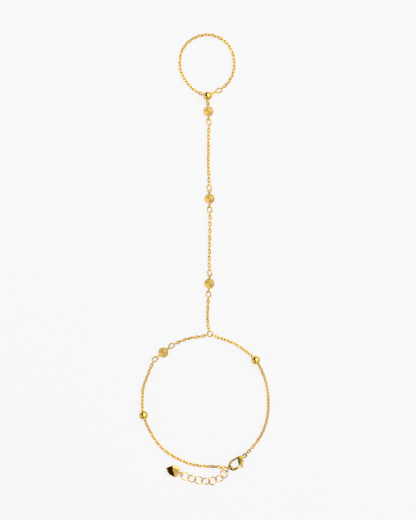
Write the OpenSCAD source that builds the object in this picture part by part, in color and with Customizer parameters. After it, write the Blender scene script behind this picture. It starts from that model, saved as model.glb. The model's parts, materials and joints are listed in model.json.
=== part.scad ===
// Hand chain bracelet: a finger loop, a chain down the back of the hand with
// three discs, and a wrist loop with a lobster clasp and an extender.
// It lies flat, with +Y towards the finger loop and +Z up from the surface.

/* [Chain] */
// Diameter of a chain link's wire
link_wire = 0.32; // [0.3:0.01:0.34]
// Width of a chain link over its wire
link_w = 1.28; // [1.26:0.01:1.35]
// Spacing aimed at along the chain, link to link
link_pitch = 1.37; // [1.25:0.01:1.6]
// Height of the chain's middle above the surface
chain_z = 0.73; // [0.72:0.01:0.9]

/* [Jump rings] */
// Diameter of a jump ring's wire
ring_wire = 0.36; // [0.32:0.01:0.4]
// Length of an oval jump ring over its wire
ring_len = 2.9; // [2.7:0.05:3.2]
// Width of an oval jump ring over its wire
ring_w = 2.1; // [2:0.05:2.3]
// Outer diameter of the round ring where three chains meet
top_ring_d = 2.65; // [2.6:0.05:3.2]
// Outer diameter of the small rings at the clasp's eye and the heart
small_ring_d = 2; // [1.95:0.05:2.15]
// Outer diameter of the ring that joins the extender
end_ring_d = 2.65; // [2.6:0.05:2.8]
// Length of the upright ring on the clasp's hook
hook_ring_len = 2.85; // [2.8:0.05:3]
// Height of the upright ring on the clasp's hook
hook_ring_w = 2.4; // [2.35:0.05:2.5]

/* [Beads] */
// Diameter of the beads
bead_d = 3.6; // [3.4:0.05:4]
// Bore of the two wrist beads
bead_bore = 1.9; // [1.85:0.05:2.1]

/* [Discs] */
// Diameter of a disc
disc_d = 4; // [3.8:0.05:4.4]
// Thickness of a disc between its rims
disc_t = 0.7; // [0.6:0.05:0.8]
// Width of the raised rim
rim_w = 0.34; // [0.28:0.02:0.4]
// Height of the raised rim and of the swirl
relief_h = 0.14; // [0.1:0.02:0.16]
// Width of the swirl's raised line
swirl_w = 0.34; // [0.28:0.02:0.36]
// Spacing of the swirl's turns
swirl_pitch = 0.62; // [0.56:0.02:0.64]
// Hole of a disc's broad eye
eye_hole = 0.84; // [0.82:0.01:0.86]
// Wall of a disc's broad eye
eye_wall = 0.3; // [0.26:0.01:0.3]
// Width of a disc's broad eye
eye_w = 0.88; // [0.8:0.02:0.9]
// Distance from a disc's edge to the middle of its broad eye
eye_reach = 0.95; // [0.9:0.05:1.2]
// Diameter of a thin eye's wire
loop_wire = 0.3; // [0.28:0.01:0.32]
// Hole of a thin eye
loop_hole = 0.66; // [0.64:0.01:0.7]

/* [Extender] */
// Number of rings in the extender
ext_count = 7; // [6:1:8]
// Diameter of an extender ring's wire
ext_wire = 0.3; // [0.28:0.01:0.34]
// Tilt of an extender ring out of the flat
ext_tilt = 34; // [32:1:38]

/* [Heart tag] */
// Length of the heart from its tip to its lobes
heart_len = 5.2; // [5:0.1:5.4]
// Width of the heart over its lobes
heart_w = 4.4; // [4.2:0.1:4.6]
// Thickness of the heart at its middle
heart_t = 1.5; // [1.3:0.1:1.6]

/* [Clasp] */
// Thickness of the clasp's housing
clasp_t = 1.9; // [1.8:0.05:2.2]
// Thickness of the clasp's lever
lever_t = 0.74; // [0.6:0.02:0.8]
// Diameter of the clasp's pin
pin_d = 0.5; // [0.4:0.02:0.56]
// Hole of the clasp's eye
clasp_eye_hole = 1; // [0.95:0.05:1.1]
// Wire of the clasp's eye
clasp_eye_wire = 0.45; // [0.4:0.01:0.48]

/* [Clearances] */
// Play between two linked wires
play = 0.14; // [0.13:0.01:0.16]
// Play of a jump ring in a disc's broad eye
eye_play = 0.2; // [0.18:0.01:0.22]
// Play between the rings of the extender
ext_play = 0.14; // [0.13:0.01:0.18]
// Play of the extender's first ring in the end ring
first_play = 0.42; // [0.4:0.01:0.44]
// Looseness of the extender's last ring on the tag ring
last_play = 0.24; // [0.22:0.01:0.26]
// Added looseness of what hangs askew on the end ring
side_play = 0.1; // [0.08:0.01:0.14]
// Clearance on each side of the lever inside its housing
lever_gap = 0.1; // [0.08:0.01:0.12]
// Clearance round the pin in the lever
pin_gap = 0.05; // [0.03:0.01:0.06]
// Clearance round the pin in the housing
pin_seat_gap = 0.02; // [0.01:0.01:0.03]

/* [Hidden] */
$fn = 40;
gold = "goldenrod";

// Places of the main pieces, as [x, y] on the surface, and their directions in degrees
finger_bead_at = [1.4, 65.1];
hand_dir = -87;
finger_loop_dir = 158;
tail_dir = 30;
jump_ring_at = [6, 67.4];
jump_ring_dir = 20;
disc_2_at = [2.2, 24.1];
disc_2_dir = -89;
disc_3_at = [2.1, -9.8];
disc_3_dir = -93;
top_ring_at = [2.4, -29.9];
disc_4_at = [-16.3, -37.4];
disc_4_dir = 219;
clasp_at = [12.2, -81.8];
clasp_dir = 38;
clasp_ring_dir = 48;
end_ring_at = [8.55, -84.1];
hook_ring_dir = 12;
// Where on the end ring the wrist chain and the hook ring hang, and their way there
end_chain_angle = 126;
hook_ring_angle = 54;
heart_at = [-12.66, -84.62];
heart_dir = -18;
tag_ring_dir = -35;
tag_ring_rise = 11;
tag_ring_tilt = 20;

// Routes of the chains between the pieces, as [x, y] points on the surface
finger_points = [
    [-2.6, 66.75], [-5.4, 68.95], [-7.9, 72.2], [-9.4, 75.8], [-9.6, 79.8], [-8.6, 83.8], [-6, 87],
    [-2.3, 89.1], [1.8, 89.7], [5.7, 88.7], [9.1, 86.3], [11.3, 82.8], [12.1, 78.6], [11.6, 74.4],
    [9.6, 70.5],
];
hand_points_1 = [[1.8, 48], [1.7, 39], [1.9, 33]];
hand_points_2 = [[2.4, 16], [2.2, 3.5], [2.1, -2]];
hand_points_3 = [[1.6, -18], [1.4, -22.5], [1.6, -26.5]];
wrist_points_top = [[-0.6, -30.9], [-4.2, -31.4], [-8.3, -32.5]];
wrist_points_left = [
    [-21.9, -44.8], [-24.2, -51], [-24.6, -54.5], [-24.2, -62.4], [-21, -70], [-17, -75.4],
    [-12, -79.1], [-6, -81.8], [-1, -82.8], [2.2, -83], [5.2, -83.05],
];
wrist_points_right = [
    [5.4, -31.3], [9.8, -32.8], [14.4, -35.2], [20.6, -40.4], [24.2, -47.6],
    [25.6, -54.5], [25.5, -62], [23.9, -68.2], [21.6, -72.4], [19.4, -75.2],
];
extender_points = [
    [8.3, -86.1], [6.4, -87.8], [3.8, -88.8], [1, -88.9], [-1.8, -88.6], [-4.5, -87.9], [-7, -87.2],
];
// Places in the wrist routes of the points that the two drilled beads sit on
bead_left_point = 3;
bead_right_point = 3;
// Twist of the chain's links away from flat and upright, in degrees
finger_twist = 38;
hand_twist = 45;
wrist_twist = 45;
// Stretch over which a chain takes up its twist, and the stretch before it
settle_run = 7;
settle_start = 1;
// Height of the extender rings' middles above the surface
ext_z = 1.15;
// Steps between two route points when a chain is laid along them
route_steps = 10;

// Sizes that follow from those above
link_r = link_w / 2 - link_wire;
ring_r = ring_w / 2 - ring_wire;
ring_run = ring_len - ring_w;
small_ring_r = small_ring_d / 2 - ring_wire;
end_ring_r = end_ring_d / 2 - ring_wire;
top_ring_r = top_ring_d / 2 - ring_wire;
hook_ring_r = hook_ring_w / 2 - ring_wire;
hook_ring_run = hook_ring_len - hook_ring_w;
bead_z = bead_d / 2;
eye_r = eye_hole / 2;
eye_out_r = eye_r + eye_wall;
loop_r = loop_hole / 2;
// Half turns of a disc's swirl
swirl_turns = 4;
// Distance from a bead's or a disc's surface to the middle of its thin eye
loop_reach = 0.34;
// Height of the finger bead's eyes above the surface
bead_loop_z = chain_z + 0.25;
// Inner length of the link between the finger bead and disc 1
bead_link_in = 1.4;
// Height of the clasp's middle above the surface, and its eye's distance from the hook
clasp_z = hook_ring_w / 2;
clasp_eye_out = 5.2;

// Directions and distances
function dir(angle) = [cos(angle), sin(angle), 0];
function up(p, z) = [p[0], p[1], z];
// Distance between the middles of two linked wire ends of inner radius a and b
function hooked(a, b, loose = play) = a + b - loose;
// Reach of the finger bead's eyes, measured along the surface
bead_loop_out = sqrt(pow(bead_d / 2 + loop_reach, 2) - pow(bead_z - bead_loop_z, 2));
function bead_loop(angle) = up(finger_bead_at, bead_loop_z) + bead_loop_out * dir(angle);
// From a disc's middle: to its broad eye, and to the near and far ends of the ring beside it
eye_out = disc_d / 2 + eye_reach;
ring_near = eye_out + hooked(eye_r, ring_r, eye_play);
ring_far = ring_near + ring_run;
// Disc 1 hangs from the finger bead by one link between two thin eyes
bead_link_span = bead_link_in + 2 * (loop_r - play);
bead_link_flat = sqrt(pow(bead_link_span, 2) - pow(bead_loop_z - chain_z, 2));
disc_1_dist = bead_loop_out + bead_link_flat + loop_reach + disc_d / 2;
disc_1_pos = up(finger_bead_at, chain_z) + disc_1_dist * dir(hand_dir);
disc_2_pos = up(disc_2_at, chain_z);
disc_3_pos = up(disc_3_at, chain_z);
disc_4_pos = up(disc_4_at, chain_z);
top_ring_pos = up(top_ring_at, chain_z);
jump_ring_pos = up(jump_ring_at, chain_z);
clasp_pos = up(clasp_at, clasp_z);
// The end ring joins the wrist chain, the ring on the clasp's hook and the extender
end_ring_pos = up(end_ring_at, clasp_z);
end_chain_pos = end_ring_pos + (end_ring_r - side_play) * dir(end_chain_angle);
hook_ring_pos = end_ring_pos + (end_ring_r - play - side_play) * dir(hook_ring_angle)
    + (hook_ring_r + hook_ring_run / 2) * dir(hook_ring_dir);
heart_pos = up(heart_at, heart_t / 2 + 0.05);
// Lobes of the heart, and the eye in the notch between them
lobe_r = 0.285 * heart_w;
lobe_side = heart_w / 2 - lobe_r;
notch_out = heart_len / 2 - lobe_r + sqrt(pow(lobe_r, 2) - pow(lobe_side, 2));
heart_eye_out = 0.72;
heart_eye_up = 0.14;
heart_eye_pos = heart_pos + (notch_out + heart_eye_out) * dir(heart_dir) + [0, 0, heart_eye_up];
// The tag ring rises from the heart's eye towards the extender
tag_ring_pos = heart_eye_pos + hooked(loop_r, small_ring_r)
    * (cos(tag_ring_rise) * dir(tag_ring_dir) + [0, 0, sin(tag_ring_rise)]);

// Smooth curve through the points p, at place t counted in points
function curve(p, t) =
    let (n = len(p), i = min(floor(t), n - 2), u = t - i)
    let (a = p[max(i - 1, 0)], b = p[i], c = p[i + 1], d = p[min(i + 2, n - 1)])
    0.5 * (2 * b + (c - a) * u + (2 * a - 5 * b + 4 * c - d) * u * u
        + (3 * b - a - 3 * c + d) * u * u * u);
// The curve as many short steps, each row [distance along it, x, y, z]
function path(p) =
    let (n = route_steps * (len(p) - 1), q = [for (i = [0 : n]) curve(p, i / route_steps)])
    [for (i = 0, s = 0; i <= n; s = s + (i < n ? norm(q[i + 1] - q[i]) : 0), i = i + 1)
        [s, q[i][0], q[i][1], q[i][2]]];
function path_length(t) = t[len(t) - 1][0];
function at(t, s) = [for (k = [1 : 3]) lookup(s, [for (row = t) [row[0], row[k]]])];
// Route from one piece to another through points on the surface, one of them perhaps in a bead,
// and level with the second piece where it meets it
function route(from, points, to, bead = -1) =
    let (last = len(points) - 1)
    concat([from], [for (i = [0 : last]) up(points[i],
        i == bead ? bead_z : i == last ? to[2] : chain_z)], [to]);

// Number of links that fills a stretch, odd where both ends ask for the same kind of link
function link_count(stretch, odd) =
    odd ? 2 * round((stretch / link_pitch - 1) / 2) + 1 : 2 * max(1, round(stretch / link_pitch / 2));

finger_path = path(route(bead_loop(finger_loop_dir), finger_points,
    jump_ring_pos + ring_run / 2 * dir(jump_ring_dir)));
// The tail leaves the bead's eye and is level before it meets the jump ring
tail_start = bead_loop(tail_dir);
tail_end = jump_ring_pos - ring_run / 2 * dir(jump_ring_dir);
tail_path = path([tail_start, up(tail_start + (tail_end - tail_start) / 2, chain_z), tail_end]);
hand_path_1 = path(route(disc_1_pos + ring_far * dir(hand_dir), hand_points_1,
    disc_2_pos - ring_far * dir(disc_2_dir)));
hand_path_2 = path(route(disc_2_pos + ring_far * dir(disc_2_dir), hand_points_2,
    disc_3_pos - ring_far * dir(disc_3_dir)));
hand_path_3 = path(route(disc_3_pos + ring_far * dir(disc_3_dir), hand_points_3, top_ring_pos));
wrist_path_top = path(route(top_ring_pos, wrist_points_top, disc_4_pos - ring_far * dir(disc_4_dir)));
wrist_route_left = route(disc_4_pos + ring_far * dir(disc_4_dir), wrist_points_left,
    end_chain_pos, bead_left_point);
wrist_path_left = path(wrist_route_left);
clasp_eye_pos = clasp_pos + clasp_eye_out * dir(clasp_dir);
clasp_ring_pos = clasp_eye_pos + hooked(clasp_eye_hole / 2, small_ring_r) * dir(clasp_ring_dir);
wrist_route_right = route(top_ring_pos, wrist_points_right, clasp_ring_pos, bead_right_point);
wrist_path_right = path(wrist_route_right);

// Lays a piece along the line from a to b, turned about that line by roll
module along(a, b, roll = 0) {
    d = b - a;
    translate((a + b) / 2)
        rotate([0, -asin(d[2] / norm(d)), atan2(d[1], d[0])])
            rotate([roll, 0, 0])
                children();
}

// Closed oval of wire in the XY plane: straight run, inner end radius and wire
module oval(run, inner, wire) {
    bend = inner + wire / 2;
    for (turn = [0, 180])
        rotate([0, 0, turn]) {
            translate([run / 2, 0, 0])
                rotate([0, 0, -90])
                    rotate_extrude(angle = 180)
                        translate([bend, 0])
                            circle(d = wire);
            translate([-run / 2, bend, 0])
                rotate([0, 90, 0])
                    cylinder(d = wire, h = run);
        }
}

// Closed round ring of wire in the XY plane
module round_ring(inner, wire) {
    rotate_extrude()
        translate([inner + wire / 2, 0])
            circle(d = wire);
}

// Chain along a path between wire ends of inner radius r_from and r_to
module chain(t, r_from, r_to, first_roll, last_roll, twist = 0, fixed = 0) {
    stretch = path_length(t) - r_from - r_to + play;
    n = fixed > 0 ? fixed : link_count(stretch, first_roll == last_roll);
    pitch = stretch / n;
    // Whole thousandths, so that the four stretches of a link meet exactly
    run = round(1000 * (pitch + play - 2 * link_r)) / 1000;
    for (i = [0 : n - 1]) {
        s = r_from + (pitch - play) / 2 + i * pitch;
        turned = twist * max(0, min(1, (min(s, path_length(t) - s) - settle_start) / settle_run));
        along(at(t, s - run / 2), at(t, s + run / 2), first_roll + 90 * i + turned)
            oval(run, link_r, link_wire);
    }
}

// Flat oval jump ring beside a disc, on the side that way points to
module disc_ring(pos, angle, way) {
    color(gold)
        along(pos + way * ring_near * dir(angle), pos + way * ring_far * dir(angle))
            oval(ring_run, ring_r, ring_wire);
}

// Upright thin eye
module thin_eye() {
    rotate([90, 0, 0])
        round_ring(loop_r, loop_wire);
}

// Broad upright eye with softened edges
module broad_eye() {
    soft = 0.12;
    half = eye_w / 2;
    rotate([90, 0, 0])
        rotate_extrude()
            polygon([
                [eye_r, -half + soft], [eye_r + soft, -half], [eye_out_r - soft, -half],
                [eye_out_r, -half + soft], [eye_out_r, half - soft],
                [eye_out_r - soft, half], [eye_r + soft, half], [eye_r, half - soft],
            ]);
}

// Neck that joins a broad eye to the disc
module broad_neck() {
    neck_t = 0.6;
    into = 0.4;
    translate([disc_d / 2 - into, -eye_w / 2 + 0.1, -neck_t / 2])
        cube([eye_reach + into - eye_r - eye_wall / 2, eye_w - 0.2, neck_t]);
}

// Raised swirl of half turns, each wider than the one before and meeting its end
module swirl() {
    wider = swirl_pitch / 2;
    for (k = [0 : swirl_turns - 1]) {
        r = swirl_w / 2 + 0.06 + k * wider;
        side = k % 2 == 0 ? -1 : 1;
        translate([side * wider / 2, 0, disc_t / 2])
            rotate([0, 0, side < 0 ? 0 : 180])
                rotate_extrude(angle = 180)
                    translate([r, 0])
                        polygon([
                            [-swirl_w / 2, -0.1], [swirl_w / 2, -0.1], [swirl_w / 2, 0.02],
                            [swirl_w / 6, relief_h], [-swirl_w / 6, relief_h], [-swirl_w / 2, 0.02],
                        ]);
    }
}

// Coin with a raised rim on its upper face
module coin() {
    soft = 0.1;
    top = disc_t / 2 + relief_h;
    r = disc_d / 2;
    rotate_extrude()
        polygon([
            [0, -disc_t / 2], [r - soft, -disc_t / 2], [r, -disc_t / 2 + soft], [r, top - soft],
            [r - soft, top], [r - rim_w, top], [r - rim_w - soft / 2, disc_t / 2], [0, disc_t / 2],
        ]);
}

// Disc with an eye at both ends; its first eye is thin where a single link holds it
module disc(pos, angle, thin_first = false) {
    color(gold)
        translate(pos)
            rotate([0, 0, angle]) {
                coin();
                rotate([0, 0, 90])
                    swirl();
                translate([eye_out, 0, 0])
                    broad_eye();
                broad_neck();
                if (thin_first) {
                    translate([-disc_d / 2 - loop_reach, 0, 0])
                        thin_eye();
                } else {
                    translate([-eye_out, 0, 0])
                        broad_eye();
                    rotate([0, 0, 180])
                        broad_neck();
                }
            }
}

// Polished ball with three soldered thin eyes
module ball_with_eyes() {
    color(gold) {
        translate(up(finger_bead_at, bead_z))
            sphere(d = bead_d);
        for (angle = [finger_loop_dir, tail_dir, hand_dir])
            translate(bead_loop(angle))
                rotate([0, 0, angle])
                    thin_eye();
    }
}

// Polished ball drilled along the chain that passes through it
module drilled_ball(r, point) {
    p = r[point + 1];
    ahead = curve(r, point + 1.1) - curve(r, point + 0.9);
    color(gold)
        translate(p)
            rotate([0, 90, atan2(ahead[1], ahead[0])])
                difference() {
                    sphere(d = bead_d);
                    cylinder(d = bead_bore, h = 2 * bead_d, center = true);
                }
}

// Middle line of the clasp's hook as [along, across, half width, half thickness] from its hole
hook_line = [
    [4, 0.45, 0.42, 0.8], [3.1, 0.85, 0.45, 0.8], [2.1, 1.2, 0.38, 0.72], [0.9, 1.42, 0.38, 0.66],
    [-0.3, 1.45, 0.4, 0.62], [-1.3, 1.2, 0.43, 0.6], [-2.1, 0.6, 0.45, 0.6], [-2.35, -0.2, 0.48, 0.6],
    [-2.15, -1, 0.5, 0.6], [-1.6, -1.6, 0.48, 0.6], [-0.8, -1.95, 0.45, 0.58],
    [0, -2.02, 0.42, 0.56], [0.6, -1.95, 0.36, 0.5], [0.92, -1.82, 0.26, 0.38],
];
hook_sides = 12;
hook_steps = 3;
pivot_at = [2.9, 0.3];
hub_r = 0.62;
housing_at = [2.95, 0.4];
housing_r = 0.98;
housing_soft = 0.2;
neck_at = [4.3, 0.1];
neck_r = 0.5;
// Places along the lever, as middle and half width: its gate arm, and its thumb tab
gate_middle = [1.8, -0.55];
gate_middle_r = 0.5;
gate_tip = [1.5, -1.35];
gate_tip_r = 0.38;
tab_root = [2.9, -1];
tab_root_r = 0.66;
tab_middle = [2.15, -1.9];
tab_r = 0.48;
knob = [1.65, -2.7];

// Smooth hook swept along its middle line
module hook() {
    n = hook_steps * (len(hook_line) - 1);
    rows = [for (i = [0 : n]) curve(hook_line, i / hook_steps)];
    rings = [for (i = [0 : n])
        let (a = rows[max(i - 1, 0)], b = rows[min(i + 1, n)], c = rows[i])
        let (turn = atan2(b[1] - a[1], b[0] - a[0]) + 90)
        for (k = [0 : hook_sides - 1])
            let (w = c[2] * cos(360 * k / hook_sides), h = c[3] * sin(360 * k / hook_sides))
            [c[0] + w * cos(turn), c[1] + w * sin(turn), h]];
    m = hook_sides;
    polyhedron(
        points = rings,
        faces = concat(
            [[for (k = [0 : m - 1]) k]],
            [[for (k = [0 : m - 1]) n * m + m - 1 - k]],
            [for (i = [0 : n - 1], k = [0 : m - 1])
                [i * m + k, (i + 1) * m + k, (i + 1) * m + (k + 1) % m, i * m + (k + 1) % m]]
        )
    );
}

// Housing of the lever with softened edges, drawn in towards the eye
module housing() {
    hull() {
        translate(up(housing_at, 0)) {
            cylinder(r = housing_r - housing_soft, h = clasp_t, center = true);
            cylinder(r = housing_r, h = clasp_t - 2 * housing_soft, center = true);
        }
        translate(up(neck_at, 0))
            cylinder(r = neck_r, h = clasp_t - 2 * housing_soft, center = true);
    }
}

// Slot for the lever, round its hub and gate arm and open on the side of the thumb tab
module lever_slot() {
    slot = lever_t + 2 * lever_gap;
    open_side = 1.25;
    // Short of the slot's round end, so that the wall crosses it
    closed_side = hub_r + 0.7 * lever_gap;
    nose_side = 1.6;
    eye_side = 0.6;
    arm = pivot_at - gate_tip;
    lever_bar(pivot_at, hub_r + lever_gap, gate_middle, gate_middle_r + lever_gap, slot);
    translate(up(pivot_at, -slot / 2))
        rotate([0, 0, atan2(arm[1], arm[0])])
            translate([-nose_side, -open_side, 0])
                cube([nose_side + eye_side, open_side + closed_side, slot]);
}

// Body of the clasp: hook, housing with a slot for the lever, and eye
module clasp_body() {
    color(gold)
        translate(clasp_pos)
            rotate([0, 0, clasp_dir])
                difference() {
                    union() {
                        hook();
                        housing();
                        translate([clasp_eye_out, 0, 0])
                            round_ring(clasp_eye_hole / 2, clasp_eye_wire);
                    }
                    lever_slot();
                    translate(up(pivot_at, 0))
                        cylinder(d = pin_d + 2 * pin_seat_gap, h = 2 * clasp_t, center = true);
                }
}

// One stretch of the lever between two round ends
module lever_bar(a, ra, b, rb, t) {
    hull() {
        translate(up(a, -t / 2))
            cylinder(r = ra, h = t);
        translate(up(b, -t / 2))
            cylinder(r = rb, h = t);
    }
}

// Lever of the clasp: hub, gate arm and thumb tab with its knob
module clasp_lever() {
    color(gold)
        translate(clasp_pos)
            rotate([0, 0, clasp_dir])
                difference() {
                    union() {
                        lever_bar(pivot_at, hub_r, gate_middle, gate_middle_r, lever_t);
                        lever_bar(gate_middle, gate_middle_r, gate_tip, gate_tip_r, lever_t);
                        lever_bar(pivot_at, hub_r, tab_root, tab_root_r, lever_t);
                        lever_bar(tab_root, tab_root_r, tab_middle, tab_r, lever_t);
                        lever_bar(tab_middle, tab_r, knob, tab_r, lever_t);
                    }
                    translate(up(pivot_at, 0))
                        cylinder(d = pin_d + 2 * pin_gap, h = 2 * clasp_t, center = true);
                }
}

module clasp_pin() {
    color("darkgoldenrod")
        translate(clasp_pos)
            rotate([0, 0, clasp_dir])
                translate(up(pivot_at, 0))
                    cylinder(d = pin_d, h = clasp_t, center = true);
}

// Extender: round rings from the end ring to the tag ring, tilted to each side in turn
module extender_chain() {
    q = path(concat([end_ring_pos], [for (p = extender_points) up(p, ext_z)], [tag_ring_pos]));
    spare = first_play + last_play - ext_play;
    pitch = (path_length(q) - end_ring_r - small_ring_r + spare) / ext_count;
    inner = (pitch + ext_play) / 2;
    color(gold)
        for (i = [0 : ext_count - 1]) {
            s = end_ring_r + inner - first_play + i * pitch;
            along(at(q, s - inner), at(q, s + inner), i % 2 == 0 ? ext_tilt : -ext_tilt)
                round_ring(inner, ext_wire);
        }
}

// Round puff of the heart, flattened to the heart's thickness
module puff(x, y, r, t) {
    translate([x, y, 0])
        scale([1, 1, t / 2 / r])
            sphere(r = r, $fn = 28);
}

// Puffed heart with its tip towards -X and an eye in its notch
module heart_tag() {
    tip_r = 0.17 * heart_len;
    cheek_r = 0.28 * heart_len;
    color(gold) {
        translate(heart_pos)
            rotate([0, 0, heart_dir])
                for (side = [-1, 1])
                    hull() {
                        puff(heart_len / 2 - lobe_r, side * lobe_side, lobe_r, heart_t);
                        puff(-0.026 * heart_len, side * 0.114 * heart_w, cheek_r, heart_t);
                        puff(tip_r - heart_len / 2, 0, tip_r, 0.6 * heart_t);
                    }
        translate(heart_eye_pos)
            rotate([0, 0, tag_ring_dir])
                thin_eye();
    }
}

module finger_chain() {
    color(gold)
        chain(finger_path, loop_r, ring_r, 0, 90, finger_twist);
}
module finger_jump_ring() {
    color(gold)
        translate(jump_ring_pos)
            rotate([0, 0, jump_ring_dir])
                oval(ring_run, ring_r, ring_wire);
}
module finger_tail() {
    color(gold)
        chain(tail_path, loop_r, ring_r, 0, 90, fixed = 2);
}
module finger_bead() {
    ball_with_eyes();
}
module bead_link() {
    start = bead_loop(hand_dir);
    end = disc_1_pos - (disc_d / 2 + loop_reach) * dir(hand_dir);
    color(gold)
        along(start, end)
            oval(bead_link_in - 2 * link_r, link_r, link_wire);
}
module disc_1() {
    disc(disc_1_pos, hand_dir, true);
}
module disc_1_ring() {
    disc_ring(disc_1_pos, hand_dir, 1);
}
module hand_chain_1() {
    color(gold)
        chain(hand_path_1, ring_r, ring_r, 90, 90, hand_twist);
}
module disc_2() {
    disc(disc_2_pos, disc_2_dir);
}
module disc_2_ring_a() {
    disc_ring(disc_2_pos, disc_2_dir, -1);
}
module disc_2_ring_b() {
    disc_ring(disc_2_pos, disc_2_dir, 1);
}
module hand_chain_2() {
    color(gold)
        chain(hand_path_2, ring_r, ring_r, 90, 90);
}
module disc_3() {
    disc(disc_3_pos, disc_3_dir);
}
module disc_3_ring_a() {
    disc_ring(disc_3_pos, disc_3_dir, -1);
}
module disc_3_ring_b() {
    disc_ring(disc_3_pos, disc_3_dir, 1);
}
module hand_chain_3() {
    color(gold)
        chain(hand_path_3, ring_r, top_ring_r, 90, 90, hand_twist);
}
module top_ring() {
    color(gold)
        translate(top_ring_pos)
            round_ring(top_ring_r, ring_wire);
}
module wrist_chain_top() {
    color(gold)
        chain(wrist_path_top, top_ring_r, ring_r, 90, 90, wrist_twist);
}
module disc_4() {
    disc(disc_4_pos, disc_4_dir);
}
module disc_4_ring_a() {
    disc_ring(disc_4_pos, disc_4_dir, -1);
}
module disc_4_ring_b() {
    disc_ring(disc_4_pos, disc_4_dir, 1);
}
module wrist_chain_left() {
    color(gold)
        chain(wrist_path_left, ring_r, 0, 90, 90, wrist_twist);
}
module bead_left() {
    drilled_ball(wrist_route_left, bead_left_point);
}
module wrist_chain_right() {
    color(gold)
        chain(wrist_path_right, top_ring_r, small_ring_r, 90, 0, wrist_twist);
}
module bead_right() {
    drilled_ball(wrist_route_right, bead_right_point);
}
module clasp_ring() {
    color(gold)
        translate(clasp_ring_pos)
            rotate([90, 0, clasp_ring_dir])
                round_ring(small_ring_r, ring_wire);
}
module hook_ring() {
    color(gold)
        translate(hook_ring_pos)
            rotate([90, 0, hook_ring_dir])
                oval(hook_ring_run, hook_ring_r, ring_wire);
}
module end_ring() {
    color(gold)
        translate(end_ring_pos)
            round_ring(end_ring_r, ring_wire);
}
module tag_ring() {
    color(gold)
        along(heart_eye_pos, 2 * tag_ring_pos - heart_eye_pos, tag_ring_tilt)
            round_ring(small_ring_r, ring_wire);
}
finger_chain();
finger_jump_ring();
finger_tail();
finger_bead();
bead_link();
disc_1();
disc_1_ring();
hand_chain_1();
disc_2();
disc_2_ring_a();
disc_2_ring_b();
hand_chain_2();
disc_3();
disc_3_ring_a();
disc_3_ring_b();
hand_chain_3();
top_ring();
wrist_chain_top();
disc_4();
disc_4_ring_a();
disc_4_ring_b();
wrist_chain_left();
bead_left();
wrist_chain_right();
bead_right();
clasp_ring();
clasp_body();
clasp_lever();
clasp_pin();
hook_ring();
end_ring();
extender_chain();
tag_ring();
heart_tag();
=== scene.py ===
"""Looks of the hand chain bracelet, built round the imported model: metres, +Z up, photographed from above."""

import json
import math

import bmesh
import bpy
import numpy as np
from mathutils import Matrix, Vector

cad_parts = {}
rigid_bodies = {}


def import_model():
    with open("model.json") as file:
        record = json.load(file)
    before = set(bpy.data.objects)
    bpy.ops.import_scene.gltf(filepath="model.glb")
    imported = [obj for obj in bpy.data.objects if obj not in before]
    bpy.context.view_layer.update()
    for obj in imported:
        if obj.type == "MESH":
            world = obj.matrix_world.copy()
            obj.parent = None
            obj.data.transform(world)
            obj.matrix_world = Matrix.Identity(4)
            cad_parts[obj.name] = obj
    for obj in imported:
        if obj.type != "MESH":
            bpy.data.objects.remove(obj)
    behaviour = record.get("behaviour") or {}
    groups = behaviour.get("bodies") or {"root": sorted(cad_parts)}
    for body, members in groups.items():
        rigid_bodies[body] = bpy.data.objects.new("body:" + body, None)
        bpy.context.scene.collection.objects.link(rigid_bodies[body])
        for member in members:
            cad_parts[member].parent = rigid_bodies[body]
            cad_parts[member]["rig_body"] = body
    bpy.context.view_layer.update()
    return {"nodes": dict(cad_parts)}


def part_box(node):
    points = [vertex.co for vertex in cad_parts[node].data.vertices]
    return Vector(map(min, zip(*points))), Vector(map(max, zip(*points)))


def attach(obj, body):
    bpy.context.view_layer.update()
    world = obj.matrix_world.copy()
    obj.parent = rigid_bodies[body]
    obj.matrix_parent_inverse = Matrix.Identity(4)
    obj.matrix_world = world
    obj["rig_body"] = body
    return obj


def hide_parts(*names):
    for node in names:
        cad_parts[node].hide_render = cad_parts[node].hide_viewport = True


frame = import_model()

MM = 0.001

# Camera: the photograph's middle over the table, and the length of its long side there
VIEW_X, VIEW_Y, VIEW_Z = 1.56 * MM, -0.4 * MM, 0.8 * MM
VIEW_LONG = 208 * MM
LENS, SENSOR = 100, 36
CLIP_NEAR, CLIP_FAR = 0.01, 20

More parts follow.
